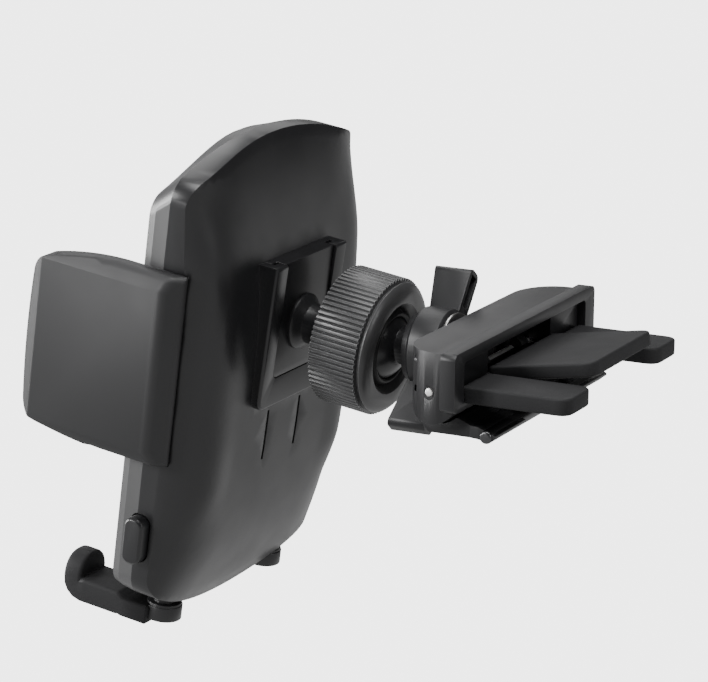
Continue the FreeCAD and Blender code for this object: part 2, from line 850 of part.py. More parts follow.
def sync_pinion():
    pitch_r = gear_module * gear_teeth / 2
    base = pitch_r * math.cos(math.radians(20))
    tip = pitch_r + gear_module
    root = pitch_r - 1.25 * gear_module
    half = math.pi / 2 / gear_teeth - gear_backlash / 4 / pitch_r
    phase = involute(base, pitch_r)
    flank = []
    for k in range(5):
        radius = max(base, root) + (tip - max(base, root)) * k / 4
        flank.append((radius, half + phase - involute(base, radius)))
    points = []
    for tooth in range(gear_teeth):
        centre = 2 * math.pi * tooth / gear_teeth + math.pi / 2
        side = [(root, flank[0][1])] + flank
        for radius, angle in [(r, -a) for r, a in side] + [(r, a) for r, a in reversed(side)]:
            turn = centre + angle
            points.append(V(radius * math.cos(turn), rack_front, gear_z + radius * math.sin(turn)))
    gear = prism(points, V(0, rack_thickness, 0))
    return gear.cut(rod(post_radius + gear_fit, V(0, rack_front - 1, gear_z), Y, rack_thickness + 2))


def arm():
    """The +X arm; its skin reaches from the phone's edge to the cradle's rear."""
    gap = cradle_width / 2 + arm_gap
    out = arm_outer
    plan = [V(gap, arm_front + 1.2, 0), V(gap + 1.0, arm_front, 0), V(out - arm_bevel_depth, arm_front, 0),
            V(out, arm_front + arm_bevel, 0), V(out, arm_face_rear, 0), V(gap + 0.8, arm_rear, 0),
            V(gap, arm_rear - 0.6, 0)]
    low, high = arm_bottom - 1, arm_top + 1
    skin = prism([V(p.x, p.y, low) for p in plan], V(0, 0, high - low))
    skin = skin.common(arm_side()).common(arm_section())
    room = block(gap - 1, gap + arm_pad * 0.5, arm_front + 2.4, arm_pad_rear, arm_bottom + 4.4, arm_top - 4.4)
    skin = skin.cut(room)
    return skin.fuse(rack()).removeSplitter()


def arm_side():
    """Outline seen from the side: level edges that bend towards a bowed front edge."""
    x, depth = cradle_width / 2 - 1, arm_outer - cradle_width / 2 + 2
    middle = (arm_top + arm_bottom) / 2
    knee = arm_front + 12
    top = [V(x, arm_rear + 1, arm_top), V(x, knee - 8, arm_top), V(x, arm_front + arm_bow, arm_top - arm_taper)]
    low = [V(x, arm_front + arm_bow, arm_bottom + arm_taper), V(x, knee - 8, arm_bottom),
           V(x, arm_rear + 1, arm_bottom)]
    bend = arm_taper * 0.35
    half_top = Part.Arc(V(x, arm_rear - 12, arm_top), V(x, knee - 2, arm_top - bend), top[2]).toShape()
    bow = Part.Arc(top[2], V(x, arm_front, middle), low[0]).toShape()
    half_low = Part.Arc(low[0], V(x, knee - 2, arm_bottom + bend), V(x, arm_rear - 12, arm_bottom)).toShape()
    edges = [Part.makeLine(top[0], V(x, arm_rear - 12, arm_top)), half_top, bow, half_low,
             Part.makeLine(V(x, arm_rear - 12, arm_bottom), low[2]), Part.makeLine(low[2], top[0])]
    side = Part.Face(Part.Wire(edges)).extrude(V(depth, 0, 0))
    return rounded(side, arm_corner, lambda e: is_along(e, X) and e.CenterOfMass.y < arm_front + 5)


def arm_section():
    """Section seen from the front: the outer face is bevelled along its top and bottom."""
    y, x = arm_front - 1, cradle_width / 2 - 1
    out = arm_outer
    points = [V(x, y, arm_bottom), V(out - arm_bevel_depth, y, arm_bottom), V(out, y, arm_bottom + arm_bevel),
              V(out, y, arm_top - arm_bevel), V(out - arm_bevel_depth, y, arm_top), V(x, y, arm_top)]
    return prism(points, V(0, arm_rear - arm_front + 2, 0))


def arm_pad_shape():
    gap = cradle_width / 2 + arm_gap
    x1 = gap + arm_pad * 0.5 - 0.02
    pad = block(x1 - arm_pad, x1, arm_front + 2.5, arm_pad_rear - 0.1, arm_bottom + 4.5, arm_top - 4.5)
    pad = rounded(pad, 0.8, lambda e: e.CenterOfMass.x < x1 - arm_pad + 0.01)
    return pad


def opposite(shape):
    """The same piece turned half a turn about the pinion's axis."""
    turned_shape = shape.copy()
    turned_shape.rotate(V(0, 0, gear_z), Y, 180)
    return turned_shape


def arm_spring():
    """Closed coils beside the rack, drawn as one ribbed sleeve."""
    z = rack_middle(1) + rack_height / 2 + spring_radius + spring_wire + 1.0
    y = rack_front + rack_thickness / 2
    pitch = 2 * spring_wire
    outer = []
    for k in range(spring_turns):
        outer.append((spring_radius, k * pitch))
        outer.append((spring_radius + spring_wire, (k + 0.5) * pitch))
    length = spring_turns * pitch
    bore = spring_radius - spring_wire
    profile = outer + [(spring_radius, length), (bore, length), (bore, 0)]
    sleeve = turned(profile)
    sleeve.rotate(V(0, 0, 0), Z, -90)
    sleeve.translate(V(spring_start, y, z))
    return sleeve


# Feet
def foot():
    half = foot_width / 2
    z0 = foot_top - foot_thickness
    front = foot_front + sleeve_thickness
    bar = block(foot_x - half, foot_x + half, front + toe_radius - sleeve_thickness, foot_y, z0, foot_top)
    toe = block(foot_x - half, foot_x + half, front, foot_y, z0 + toe_radius - sleeve_thickness, foot_top)
    end = rod(half, V(foot_x, foot_y, z0), Z, foot_thickness)
    hook = tombstone(half, front, hook_thickness, z0 + toe_radius - sleeve_thickness, hook_top)
    post = rod(post_radius_foot, V(foot_x, foot_y, foot_top - 0.5), Z, boss_top + 1 - foot_top)
    head = rod(post_radius_foot + 0.5, V(foot_x, foot_y, boss_top + 0.1), Z, foot_head)
    collar = rod(post_radius_foot + 1.4, V(foot_x, foot_y, foot_top - 0.5), Z, 0.5 + collar_height)
    return bar.fuse([toe, end, hook, post, head, collar]).removeSplitter()


def foot_sleeve():
    half = foot_width / 2
    wide = half + sleeve_thickness
    low = foot_top - foot_thickness - sleeve_thickness
    high = foot_top + sleeve_thickness
    outer = block(foot_x - wide, foot_x + wide, foot_front, sleeve_step, low, high)
    outer = outer.fuse(block(foot_x - wide, foot_x + wide, sleeve_step - 1, sleeve_rear, low,
                             foot_top - sleeve_sink))
    outer = outer.fuse(tombstone(wide, foot_front, hook_thickness + 2 * sleeve_thickness, low,
                                 hook_top + sleeve_thickness))
    outer = outer.removeSplitter()
    toe = [e for e in outer.Edges if is_along(e, X) and e.CenterOfMass.y < foot_front + 0.01
           and e.CenterOfMass.z < low + 0.01]
    outer = outer.makeFillet(toe_radius, toe)
    fit = 0.02
    inner = block(foot_x - half - fit, foot_x + half + fit, foot_front + sleeve_thickness - fit,
                  sleeve_rear + 1, foot_top - foot_thickness - fit, foot_top + fit)
    hook = tombstone(half + fit, foot_front + sleeve_thickness - fit, hook_thickness + 2 * fit,
                     foot_top - foot_thickness, hook_top + fit)
    return outer.cut(inner).cut(hook)


def tombstone(half, y, depth, low, high):
    """Upright plate with a round top, standing across the foot."""
    left, right, shoulder = foot_x - half, foot_x + half, high - half
    edges = [Part.Arc(V(right, y, shoulder), V(foot_x, y, high), V(left, y, shoulder)).toShape(),
             Part.makeLine(V(left, y, shoulder), V(left, y, low)), Part.makeLine(V(left, y, low), V(right, y, low)),
             Part.makeLine(V(right, y, low), V(right, y, shoulder))]
    return Part.Face(Part.Wire(edges)).extrude(V(0, depth, 0))


def put(name, shape, placement=None):
    if placement is not None:
        shape = shape.copy()
        shape.Placement = placement.multiply(shape.Placement)
    parts[name] = shape


def build():
    put("base_housing", base_housing())
    put("hinge_pin", hinge_pin())
    inner, outer = side_span()
    put("side_blade_left", side_blade_core())
    put("side_blade_right", mirrored(side_blade_core()))
    put("side_sleeve_left", blade_sleeve(inner, outer))
    put("side_sleeve_right", mirrored(blade_sleeve(inner, outer)))
    put("blade_clamp_left", blade_clamp())
    put("blade_clamp_right", mirrored(blade_clamp()))
    put("blade_screws", blade_screws())
    half = centre_width / 2
    put("centre_blade", centre_blade_core(), tilt)
    put("centre_sleeve", blade_sleeve(-half, half), tilt)
    put("clamp_lever", clamp_lever())
    put("lever_bar", lever_bar())
    put("bar_pin", bar_pin())
    put("ball_stem", ball_stem())
    put("stem_nut", stem_nut())
    put("thrust_washer", thrust_washer())
    put("wing_nut", wing_nut())
    put("collet", collet(), place)
    put("ball_seat", ball_seat(), place)
    put("lock_nut", lock_nut(), place)
    put("socket", socket(), place)
    put("slide_plate", slide_plate(), place)
    put("rear_cover", rear_cover(), place)
    put("front_shell", front_shell(), place)
    put("front_pad", front_pad(), place)
    put("cover_screws", cover_screws(), place)
    put("sync_pinion", sync_pinion(), place)
    put("arm_left", arm(), place)
    put("arm_right", opposite(arm()), place)
    put("arm_pad_left", arm_pad_shape(), place)
    put("arm_pad_right", opposite(arm_pad_shape()), place)
    put("arm_spring_left", arm_spring(), place)
    put("arm_spring_right", opposite(arm_spring()), place)
    put("release_button_left", release_button(1), place)
    put("release_button_right", release_button(-1), place)
    put("foot_left", foot(), place)
    put("foot_right", mirrored(foot()), place)
    put("foot_sleeve_left", foot_sleeve(), place)
    put("foot_sleeve_right", mirrored(foot_sleeve()), place)


build()
os.makedirs("parts", exist_ok=True)
for name, shape in parts.items():
    shape.exportStep("parts/" + name + ".step")
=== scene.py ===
import bpy
import bmesh
import json
import math
from mathutils import Matrix, Vector


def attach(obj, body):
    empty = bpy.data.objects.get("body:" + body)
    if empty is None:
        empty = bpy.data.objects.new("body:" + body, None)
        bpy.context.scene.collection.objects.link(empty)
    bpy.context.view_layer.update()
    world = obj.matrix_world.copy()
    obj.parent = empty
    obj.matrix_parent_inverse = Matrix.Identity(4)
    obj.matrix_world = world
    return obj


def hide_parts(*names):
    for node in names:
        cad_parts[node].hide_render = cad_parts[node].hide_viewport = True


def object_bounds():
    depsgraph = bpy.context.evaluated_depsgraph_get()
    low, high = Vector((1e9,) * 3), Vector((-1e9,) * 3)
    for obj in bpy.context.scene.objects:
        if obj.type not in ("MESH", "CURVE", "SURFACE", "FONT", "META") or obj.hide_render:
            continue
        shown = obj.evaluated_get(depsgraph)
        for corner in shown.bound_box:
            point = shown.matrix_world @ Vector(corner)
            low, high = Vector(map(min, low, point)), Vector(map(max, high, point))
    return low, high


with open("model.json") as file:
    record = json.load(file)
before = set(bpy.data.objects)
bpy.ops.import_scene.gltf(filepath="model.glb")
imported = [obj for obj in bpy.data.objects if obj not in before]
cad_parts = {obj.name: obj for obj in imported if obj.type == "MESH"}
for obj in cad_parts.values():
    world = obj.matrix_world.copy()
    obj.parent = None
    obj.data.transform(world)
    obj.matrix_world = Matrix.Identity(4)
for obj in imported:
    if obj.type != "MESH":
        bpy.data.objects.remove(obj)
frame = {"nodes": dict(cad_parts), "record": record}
cadBox = [list(corner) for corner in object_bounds()]
mm = 0.001
slotOf = {part["node"]: part["material_slot"] for part in frame["record"]["subparts"]}
bodyOf = {node: body for body, nodes in frame["record"]["behaviour"]["bodies"].items() for node in nodes}


# Materials
def newGroup(name, inputs, outputs):
    group = bpy.data.node_groups.new(name, "ShaderNodeTree")
    for label, value in inputs:
        socket = group.interface.new_socket(name=label, in_out="INPUT", socket_type="NodeSocketFloat")
        socket.default_value = value
    for label, kind in outputs:
        group.interface.new_socket(name=label, in_out="OUTPUT", socket_type=kind)
    return group, group.nodes.new("NodeGroupInput"), group.nodes.new("NodeGroupOutput")


def mathNode(nodes, links, operation, first, second):
    node = nodes.new("ShaderNodeMath")
    node.operation = operation
    for place, value in enumerate((first, second)):
        if isinstance(value, (int, float)):
            node.inputs[place].default_value = value
        else:
            links.new(value, node.inputs[place])
    return node.outputs[0]


def buildGrainGroup():
    # fine spark-eroded grain of moulded plastic, with slow changes in gloss over it, both sized in mm
    group, into, out = newGroup("mouldedGrain", [("Grain Size", 0.25), ("Cloud Size", 14.0)],
                                [("Height", "NodeSocketFloat"), ("Cloud", "NodeSocketFloat")])
    nodes, links = group.nodes, group.links
    place = nodes.new("ShaderNodeTexCoord")
    fine = nodes.new("ShaderNodeTexNoise")
    fine.inputs["Detail"].default_value = 3.0
    fine.inputs["Roughness"].default_value = 0.6
    slow = nodes.new("ShaderNodeTexNoise")
    slow.inputs["Detail"].default_value = 2.0
    links.new(place.outputs["Object"], fine.inputs["Vector"])
    links.new(place.outputs["Object"], slow.inputs["Vector"])
    links.new(mathNode(nodes, links, "DIVIDE", 1 / mm, into.outputs["Grain Size"]), fine.inputs["Scale"])
    links.new(mathNode(nodes, links, "DIVIDE", 1 / mm, into.outputs["Cloud Size"]), slow.inputs["Scale"])
    links.new(fine.outputs["Fac"], out.inputs["Height"])
    links.new(slow.outputs["Fac"], out.inputs["Cloud"])
    return group


def buildEdgeGroup():
    # mask that is 1 along outer and inner edges, from how far a rounded normal leaves the true one; it
    # lays the painted highlight along the edges
    group, into, out = newGroup("edgeHighlight", [("Width", 0.6), ("Gain", 6.0)], [("Mask", "NodeSocketFloat")])
    nodes, links = group.nodes, group.links
    bevel = nodes.new("ShaderNodeBevel")
    bevel.samples = 4
    links.new(mathNode(nodes, links, "MULTIPLY", into.outputs["Width"], mm), bevel.inputs["Radius"])
    place = nodes.new("ShaderNodeNewGeometry")
    dot = nodes.new("ShaderNodeVectorMath")
    dot.operation = "DOT_PRODUCT"
    links.new(bevel.outputs["Normal"], dot.inputs[0])
    links.new(place.outputs["Normal"], dot.inputs[1])
    away = mathNode(nodes, links, "SUBTRACT", 1.0, dot.outputs["Value"])
    mask = nodes.new("ShaderNodeClamp")
    links.new(mathNode(nodes, links, "MULTIPLY", away, into.outputs["Gain"]), mask.inputs["Value"])
    links.new(mask.outputs["Result"], out.inputs["Mask"])
    return group


grainGroup = buildGrainGroup()
edgeGroup = buildEdgeGroup()
# satin plastic, of which every finish changes a part; grain, cloud and edge are in mm, and the lighter
# edge colour is a painted highlight
plasticLook = {"colour": (0.012, 0.012, 0.013), "rubbed": (0.035, 0.035, 0.037), "rough": 0.33,
               "roughSpread": 0.04, "bump": 0.12, "grain": 0.22, "grainDepth": 0.3, "cloud": 12.0,
               "cloudLow": 0.3, "cloudHigh": 0.7, "edge": 0.35, "edgeGain": 2.0, "metal": 0.0,
               "specular": 0.5}
steelLook = {"metal": 1.0, "grain": 0.15, "bump": 0.1}


def placeGroup(nodes, group, values):
    node = nodes.new("ShaderNodeGroup")
    node.node_tree = group
    for label, value in values.items():
        node.inputs[label].default_value = value
    return node


def mouldedMaterial(name, **own):
    look = dict(plasticLook, **own)
    material = bpy.data.materials.new(name)
    material.use_nodes = True
    nodes, links = material.node_tree.nodes, material.node_tree.links
    shader = nodes["Principled BSDF"]
    grain = placeGroup(nodes, grainGroup, {"Grain Size": look["grain"], "Cloud Size": look["cloud"]})
    edge = placeGroup(nodes, edgeGroup, {"Width": look["edge"], "Gain": look["edgeGain"]})
    # painted highlight: a lighter colour mixed in along the edges by the edge mask
    colour = nodes.new("ShaderNodeMix")
    colour.data_type = "RGBA"
    colour.inputs["A"].default_value = (*look["colour"], 1)
    colour.inputs["B"].default_value = (*look["rubbed"], 1)
    links.new(edge.outputs["Mask"], colour.inputs["Factor"])
    links.new(colour.outputs["Result"], shader.inputs["Base Color"])
    rough = nodes.new("ShaderNodeMapRange")
    rough.inputs["From Min"].default_value = look["cloudLow"]
    rough.inputs["From Max"].default_value = look["cloudHigh"]
    rough.inputs["To Min"].default_value = look["rough"] - look["roughSpread"]
    rough.inputs["To Max"].default_value = look["rough"] + look["roughSpread"]
    links.new(grain.outputs["Cloud"], rough.inputs["Value"])
    links.new(rough.outputs["Result"], shader.inputs["Roughness"])
    bump = nodes.new("ShaderNodeBump")
    bump.inputs["Strength"].default_value = look["bump"]
    bump.inputs["Distance"].default_value = look["grain"] * look["grainDepth"] * mm
    links.new(grain.outputs["Height"], bump.inputs["Height"])
    links.new(bump.outputs["Normal"], shader.inputs["Normal"])
    shader.inputs["Metallic"].default_value = look["metal"]
    shader.inputs["Specular IOR Level"].default_value = look["specular"]
    return material


satinPlastic = mouldedMaterial("satinPlastic")
armPlastic = mouldedMaterial("armPlastic", rough=0.56, colour=(0.015, 0.015, 0.016))
nylonPlastic = mouldedMaterial("nylonPlastic", rough=0.5, specular=0.3, colour=(0.008, 0.008, 0.008))
softRubber = mouldedMaterial("softRubber", rough=0.62, colour=(0.024, 0.024, 0.025),
                             rubbed=(0.03, 0.03, 0.031), grain=0.35, bump=0.4, specular=0.12)
brightSteel = mouldedMaterial("brightSteel", colour=(0.62, 0.61, 0.6), rubbed=(0.8, 0.79, 0.78),
                              rough=0.24, **steelLook)
darkSteel = mouldedMaterial("darkSteel", colour=(0.09, 0.09, 0.092), rubbed=(0.25, 0.25, 0.25),
                            rough=0.34, **steelLook)
# the lock nut's rib crests get a strong painted highlight from the bright edge colour
ribbedPlastic = mouldedMaterial("ribbedPlastic", colour=(0.045, 0.045, 0.046), rough=0.34,
                                rubbed=(0.24, 0.24, 0.245), edge=0.25, edgeGain=4.0)
housingPlastic = mouldedMaterial("housingPlastic", rough=0.44, roughSpread=0.03, specular=0.4)
framePlastic = mouldedMaterial("framePlastic", colour=(0.05, 0.05, 0.051), rough=0.36)
pinSteel = mouldedMaterial("pinSteel", colour=(0.9, 0.89, 0.88), rubbed=(0.95, 0.94, 0.93),
                           rough=0.5, **steelLook)
slotFinish = {"black_plastic": satinPlastic, "arm_plastic": armPlastic, "nylon": nylonPlastic,
              "black_rubber": softRubber, "steel": brightSteel}
# pieces whose finish differs from that of their slot
ownFinish = {"bar_pin": darkSteel, "hinge_pin": pinSteel, "lock_nut": ribbedPlastic,
             "front_shell": framePlastic, "base_housing": housingPlastic, "wing_nut": housingPlastic,
             "clamp_lever": housingPlastic}
print("materials made")


# Places of the cradle, which is drawn upright, and of the raised centre blade, in mm and degrees
cradlePose = {"place": (0, -36.0, -3.5), "aside": -2.5, "back": -8.0, "round": 1.5}
raisedPose = {"hinge": (0, -7.0, -3.5), "angle": 9.0}


def turned(angle, axis):
    return Matrix.Rotation(math.radians(angle), 4, axis)


cradlePlace = Matrix.Translation(cradlePose["place"]) @ turned(cradlePose["aside"], "Z") \
    @ turned(cradlePose["back"], "X") @ turned(cradlePose["round"], "Y")
hingePlace = Matrix.Translation(raisedPose["hinge"])
raisedPlace = hingePlace @ turned(raisedPose["angle"], "X") @ hingePlace.inverted()
donePieces = set()


def newObject(name, data):
    made = bpy.data.objects.new(name, data)
    bpy.context.scene.collection.objects.link(made)
    return made


def finishPiece(piece, node):
    # applies the modifiers, gives the finish, and puts the piece in place of its CAD node
    graph = bpy.context.evaluated_depsgraph_get()
    mesh = bpy.data.meshes.new_from_object(piece.evaluated_get(graph))
    piece.modifiers.clear()
    piece.data = mesh
    slot = slotOf[node]
    mesh.materials.clear()
    mesh.materials.append(ownFinish.get(node, slotFinish[slot]))
    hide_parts(node)
    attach(piece, bodyOf[node])
    donePieces.add(node)


def ringPiece(name, rings):
    # skin over rings of points, one quad strip between each two rings, with both ends filled
    shape = bmesh.new()
    made = [[shape.verts.new(Vector(point) * mm) for point in ring] for ring in rings]
    for first, second in zip(made, made[1:]):
        for k in range(len(first)):
            nxt = (k + 1) % len(first)
            shape.faces.new((first[k], first[nxt], second[nxt], second[k]))
    shape.faces.new(list(reversed(made[0])))
    shape.faces.new(made[-1])
    bmesh.ops.recalc_face_normals(shape, faces=shape.faces)
    mesh = bpy.data.meshes.new(name)
    shape.to_mesh(mesh)
    shape.free()
    mesh.shade_smooth()
    return newObject(name, mesh)


def roundedOutline(corners, steps=6):
    # flat outline from (x, y, radius) corners, each rounded with a short arc
    points = []
    count = len(corners)
    for k, (x, y, radius) in enumerate(corners):
        here = Vector((x, y))
        before = (Vector(corners[k - 1][:2]) - here).normalized()
        after = (Vector(corners[(k + 1) % count][:2]) - here).normalized()
        reach = radius / math.tan(before.angle(after) / 2)
        start, end = here + before * reach, here + after * reach
        for j in range(steps + 1):
            share = j / steps
            points.append(start * (1 - share) ** 2 + here * 2 * share * (1 - share) + end * share ** 2)
    return points


def shrunk(points, inset):
    # the same outline moved inwards by the inset
    moved = []
    count = len(points)
    for k, point in enumerate(points):
        tangent = (points[(k + 1) % count] - points[k - 1]).normalized()
        moved.append(point + Vector((-tangent.y, tangent.x)) * inset)
    return moved


# Rubber sleeves of the blades
bladeLook = {"root": -1.0, "rootCorner": 0.6, "reach": 22.4, "corner": 3.2, "low": -5.5, "centreLow": -5.0,
             "high": -2.0, "edge": 0.5, "edgeSteps": 4, "flat": 0.12, "centreHalf": 16.2,
             "sideFrom": 17.2, "sideTo": 29.8}


def buildBladeSleeve(node, x0, x1, low, place):
    # flat slab with round edges between two levels
    look = bladeLook
    root, reach, edge = look["root"], look["reach"], look["edge"]
    outline = roundedOutline([(x0, root, look["rootCorner"]), (x1, root, look["rootCorner"]),
                              (x1, reach, look["corner"]), (x0, reach, look["corner"])])

    def ring(inset, height):
        return [place @ Vector((point.x, point.y, height)) for point in shrunk(outline, inset)]

    def halfSlab(level, sign):
        # from the slab's side to the middle of its lower or upper face
        rings = []
        for j in range(look["edgeSteps"] + 1):
            angle = math.pi / 2 * j / look["edgeSteps"]
            rings.append(ring(edge * (1 - math.cos(angle)), level - sign * edge * (1 - math.sin(angle))))
        rings.append(ring(edge + look["flat"], level))
        return rings
    rings = list(reversed(halfSlab(low, -1))) + halfSlab(look["high"], 1)
    finishPiece(ringPiece(node + "_soft", rings), node)


# Pads against the phone, with a sunk line round the face; "rim" has heights off the face and insets
frontPadLook = {"from": (-27.0, -50.0), "to": (27.0, 30.0), "corner": 6.0, "steps": 10, "back": -38.32,
                "face": -39.3, "rim": ((0.35, 0.0), (0.105, 0.1), (0.0, 0.35), (0.0, 2.0), (0.35, 2.35),
                                       (0.35, 3.0), (0.0, 3.35))}
armPadLook = {"from": (-59.7, -22.3), "to": (-39.1, 10.9), "corner": 4.6, "steps": 6, "back": 35.75,
              "face": 33.42, "rim": ((0.8, 0.0), (0.2, 0.25), (0.0, 0.8), (0.0, 1.6), (0.35, 1.95),
                                     (0.35, 2.6), (0.0, 2.95)), "armsMiddle": -5.7}


def buildPad(node, look, put):
    # put gives the place of a point of the outline at a depth
    (left, low), (right, high), corner = look["from"], look["to"], look["corner"]
    outline = roundedOutline([(left, low, corner), (right, low, corner), (right, high, corner),
                              (left, high, corner)], look["steps"])
    levels = [(look["back"], 0.0)] + [(look["face"] + rise, inset) for rise, inset in look["rim"]]
    rings = [[put(point, depth) for point in shrunk(outline, inset)] for depth, inset in levels]
    finishPiece(ringPiece(node + "_soft", rings), node)


def buildFrontPad():
    def put(point, depth):
        return cradlePlace @ Vector((point.x, depth, point.y))
    buildPad("front_pad", frontPadLook, put)


def buildArmPad(node, turn):
    # drawn for the +X arm, and turned half round for the other
    def put(point, depth):
        return cradlePlace @ turn @ Vector((depth, point.x, point.y))
    buildPad(node, armPadLook, put)


# Rubber socks on the feet: one round-edged section led along the bar and up the hook
footLook = {"x": 21.0, "half": 5.2, "rear": -32.6, "step": -39.8, "low": -68.4, "rearTop": -63.9,
            "top": -62.8, "front": -54.5, "round": 0.9, "rearRound": 0.7, "endRound": 0.5, "endEase": 0.4,
            "endLength": 0.3, "stepBefore": 0.6, "stepStart": 0.1, "stepEase": 0.3, "stepEnd": 0.8,
            "bend": 2.2, "bendBefore": 1.0, "bendSteps": 4, "hookTop": -58.0, "hookDepth": 4.6,
            "hookSteps": 7, "hookTurn": 7.6, "hookThin": 0.25, "thinPower": 3, "hookPower": 0.8,
            "cornerSteps": 4, "mostOfHalf": 0.95, "mostOfThick": 0.45}


def sectionRing(place, along, half, thick, radius):
    # rounded rectangle across the path: half its width along X, thick across it
    side = Vector((1, 0, 0))
    up = along.cross(side)
    steps = footLook["cornerSteps"]
    radius = min(radius, half * footLook["mostOfHalf"], thick * footLook["mostOfThick"])
    points = []
    for sx, sy, start in ((1, 1, 0), (-1, 1, 90), (-1, -1, 180), (1, -1, 270)):
        for j in range(steps + 1):
            angle = math.radians(start + 90 * j / steps)
            across = sx * (half - radius) + radius * math.cos(angle)
            high = sy * (thick / 2 - radius) + radius * math.sin(angle)
            points.append(place + side * across + up * high)
    return points


def buildFootSock(node, sign):
    look = footLook
    half, depth, bend, step = look["half"], look["hookDepth"], look["bend"], look["step"]
    rearMiddle, rearThick = (look["low"] + look["rearTop"]) / 2, look["rearTop"] - look["low"]
    middle, thick = (look["low"] + look["top"]) / 2, look["top"] - look["low"]
    rings = []

    def add(y, z, angle, thick, half=half, radius=look["round"]):
        along = Vector((0, -math.cos(math.radians(angle)), math.sin(math.radians(angle))))
        rings.append(sectionRing(Vector((look["x"], y, z)), along, half, thick, radius))
    # the thinner rear end, and the step up to the bar
    ease, endRound, rearRound = look["endEase"], look["endRound"], look["rearRound"]
    add(look["rear"], rearMiddle, 0, rearThick - 2 * ease, half - ease, endRound)
    add(look["rear"] - look["endLength"], rearMiddle, 0, rearThick, half, rearRound)
    add(step + look["stepBefore"], rearMiddle, 0, rearThick, half, rearRound)
    add(step - look["stepStart"], middle, 0, thick - look["stepEase"])
    add(step - look["stepEnd"], middle, 0, thick)
    # the bar's front end and the bend
    hookMiddle = look["front"] + depth / 2
    bendY, bendZ = hookMiddle + bend, middle + bend
    add(bendY + look["bendBefore"], middle, 0, thick)
    for j in range(look["bendSteps"] + 1):
        angle = 90 * j / look["bendSteps"]
        y = bendY - bend * math.sin(math.radians(angle))
        z = bendZ - bend * math.cos(math.radians(angle))
        add(y, z, angle, thick + (depth - thick) * (angle / 90))
    # the hook with its round top
    shoulder = max(look["hookTop"] - half, bendZ)
    for j in range(1, look["hookSteps"] + 1):
        angle = math.radians(90 * j / look["hookTurn"])
        z = shoulder + (look["hookTop"] - shoulder) * math.sin(angle)
        thin = 1 - look["hookThin"] * (j / look["hookSteps"]) ** look["thinPower"]
        add(hookMiddle, z, 90, depth * thin, half * math.cos(angle) ** look["hookPower"])
    mirror = Matrix.Scale(sign, 4, (1, 0, 0))
    rings = [[cradlePlace @ mirror @ point for point in ring] for ring in rings]
    finishPiece(ringPiece(node + "_soft", rings), node)


def buildSoftPieces():
    near, far, half = bladeLook["sideFrom"], bladeLook["sideTo"], bladeLook["centreHalf"]
    buildBladeSleeve("side_sleeve_left", near, far, bladeLook["low"], Matrix())
    buildBladeSleeve("side_sleeve_right", -far, -near, bladeLook["low"], Matrix())
    buildBladeSleeve("centre_sleeve", -half, half, bladeLook["centreLow"], raisedPlace)
    buildFrontPad()
    middle = Matrix.Translation((0, 0, armPadLook["armsMiddle"]))
    buildArmPad("arm_pad_left", Matrix())
    buildArmPad("arm_pad_right", middle @ turned(180, "Y") @ middle.inverted())
    buildFootSock("foot_sleeve_left", 1)
    buildFootSock("foot_sleeve_right", -1)


buildSoftPieces()
print("soft pieces made")


# Hard pieces: the moulded solids with their edges eased, and four of them bent a little
def softStep(value, start, end):
    share = min(max((value - start) / (end - start), 0.0), 1.0)
    return share * share * (3 - 2 * share)


# the solid's powers and the wanted ones; gain and losses are mm and the shares of the length they run over
swellLook = {"half": 34.4, "middle": -17.0, "upper": 57.8, "lower": 49.1, "rise": 9.8, "cadAcross": 5.5,
             "cadAlong": 2.2, "across": 9.0, "along": 2.8, "side": 0.9, "sideFrom": 18.0, "sideTo": 30.0,
             "upperLoss": (1.7, 0.5, 0.85), "lowerGain": (0.4, 0.0, 0.2), "lowerLoss": (1.6, 0.32, 0.6),
             "endPower": 8, "skinFrom": -29.5, "skinTo": -28.0}


def swellCover(point):
    # the rear cover's swell is a little fuller towards its sides than in the solid
    look = swellLook
    across = min(abs(point.x) / look["half"], 1.0)
    height = point.z - look["middle"]
    along = min(abs(height) / (look["upper"] if height > 0 else look["lower"]), 1.0)
    full = (1 - across ** look["across"]) * (1 - along ** look["along"])
    plain = (1 - across ** look["cadAcross"]) * (1 - along ** look["cadAlong"])

    def amount(name):
        most, start, end = look[name]
        return most * softStep(along, start, end)
    if height > 0:
        side = look["side"] - amount("upperLoss")
    else:
        side = look["side"] + amount("lowerGain") - amount("lowerLoss")
    atSide = softStep(abs(point.x), look["sideFrom"], look["sideTo"])
    change = look["rise"] * (full - plain) + side * atSide * (1 - along ** look["endPower"])
    point.y += change * softStep(point.y, look["skinFrom"], look["skinTo"])
    return point


slopeLook = {"least": 0.7, "more": 3.9, "half": 28.0, "behind": 32.5, "before": 38.3, "low": 12.0,
             "high": 31.0}


def slopeShell(point):
    # the front shell's upper edge falls away towards the front, and most at its corners
    look = slopeLook
    fall = look["least"] + look["more"] * softStep(abs(point.x), 0.0, look["half"])
    fall *= softStep(-point.y, look["behind"], look["before"])
    point.z -= fall * softStep(point.z, look["low"], look["high"])
    return point


ribLook = {"front": -6.6, "end": 2.4, "rear": 6.3, "longer": 1.9, "inside": 12.2, "outside": 13.2}


def longRibs(point):
    # the lock nut's ribs run further back than in the solid, and its smooth lip is shorter
    front, end, rear = ribLook["front"], ribLook["end"], ribLook["rear"]
    wanted = end + ribLook["longer"]
    if point.y < end:
        moved = wanted - (end - point.y) * (wanted - front) / (end - front)
    else:
        moved = wanted + (point.y - end) * (rear - wanted) / (rear - end)
    share = softStep(math.hypot(point.x, point.z), ribLook["inside"], ribLook["outside"])
    point.y += (moved - point.y) * share
    return point


rimLook = {"longer": 1.6, "from": 24.0, "to": 34.0}


def wideRim(point):
    # the far end of the housing reaches a little further out
    point.x -= rimLook["longer"] * softStep(-point.x, rimLook["from"], rimLook["to"])
    return point


reshaped = {"rear_cover": (swellCover, cradlePlace), "front_shell": (slopeShell, cradlePlace),
            "base_housing": (wideRim, Matrix()), "lock_nut": (longRibs, cradlePlace)}
